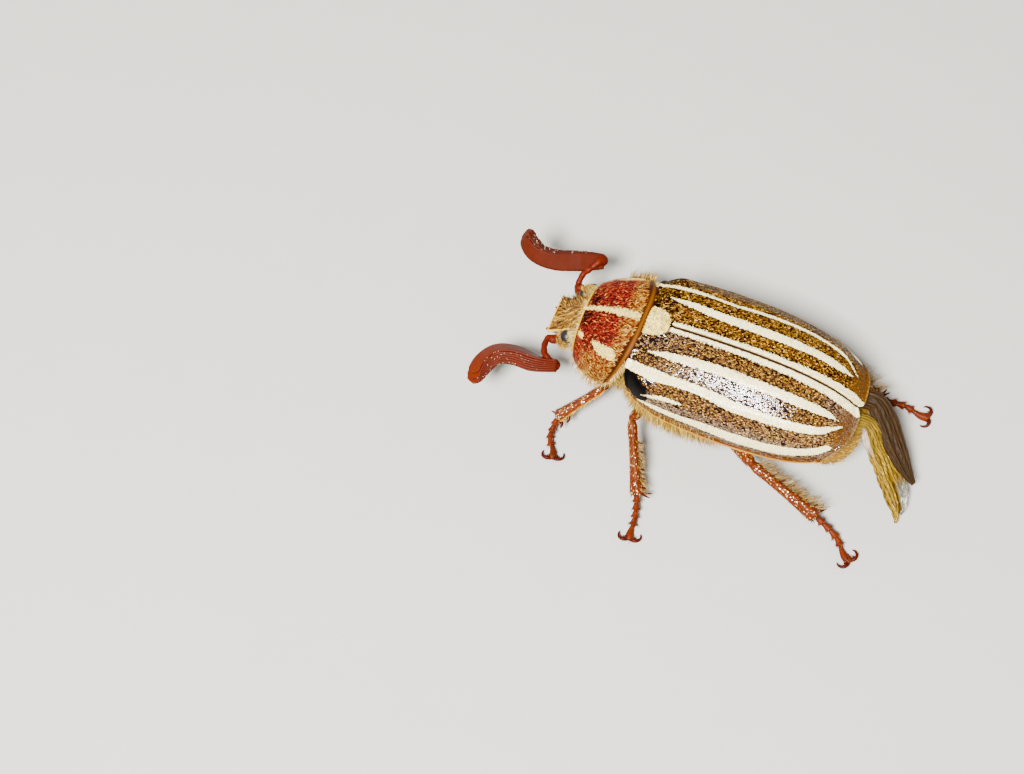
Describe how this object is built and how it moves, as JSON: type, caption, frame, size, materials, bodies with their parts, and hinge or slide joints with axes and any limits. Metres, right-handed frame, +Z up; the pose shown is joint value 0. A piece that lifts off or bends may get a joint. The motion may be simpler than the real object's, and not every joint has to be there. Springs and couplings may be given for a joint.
{
  "type": "ten-lined june beetle",
  "caption": "Life-size still model of a male striped scarab beetle with long bent feeler clubs and drooping folded wing tips, standing on its feet.",
  "frame": {"origin": "on the floor, under the centre of the whole model's box", "axes": "+Y from head to tail, +X towards the beetle's left side, +Z up"},
  "size_m": [0.0264, 0.0418, 0.0116],
  "materials": {
    "wing_case": "ochre scales over dark brown, with cream stripes",
    "pronotum": "dark red with orange scale hairs and cream stripes",
    "cream_scales": "cream scales",
    "head": "golden scales over brown",
    "eye": "glossy dark grey",
    "underside": "straw-coloured pile over brown",
    "leg": "glossy red-brown",
    "club": "satin red-brown leaves",
    "wing": "golden wrinkled membrane"
  },
  "bodies": {
    "root": {"head": "head", "eye_left": "eye", "eye_right": "eye", "pronotum": "pronotum", "prothorax": "underside", "scutellum": "cream_scales", "thorax": "underside", "abdomen": "underside", "elytron_left": "wing_case", "elytron_right": "wing_case", "hindwing_left": "wing", "hindwing_right": "wing", "antenna_left": "leg", "antenna_right": "leg", "club_left": "club", "club_right": "club", "femur_fore_left": "leg", "femur_fore_right": "leg", "femur_mid_left": "leg", "femur_mid_right": "leg", "femur_hind_left": "leg", "femur_hind_right": "leg", "tibia_fore_left": "leg", "tibia_fore_right": "leg", "tibia_mid_left": "leg", "tibia_mid_right": "leg", "tibia_hind_left": "leg", "tibia_hind_right": "leg", "tarsus_fore_left": "leg", "tarsus_fore_right": "leg", "tarsus_mid_left": "leg", "tarsus_mid_right": "leg", "tarsus_hind_left": "leg", "tarsus_hind_right": "leg"}
  },
  "joints": []
}
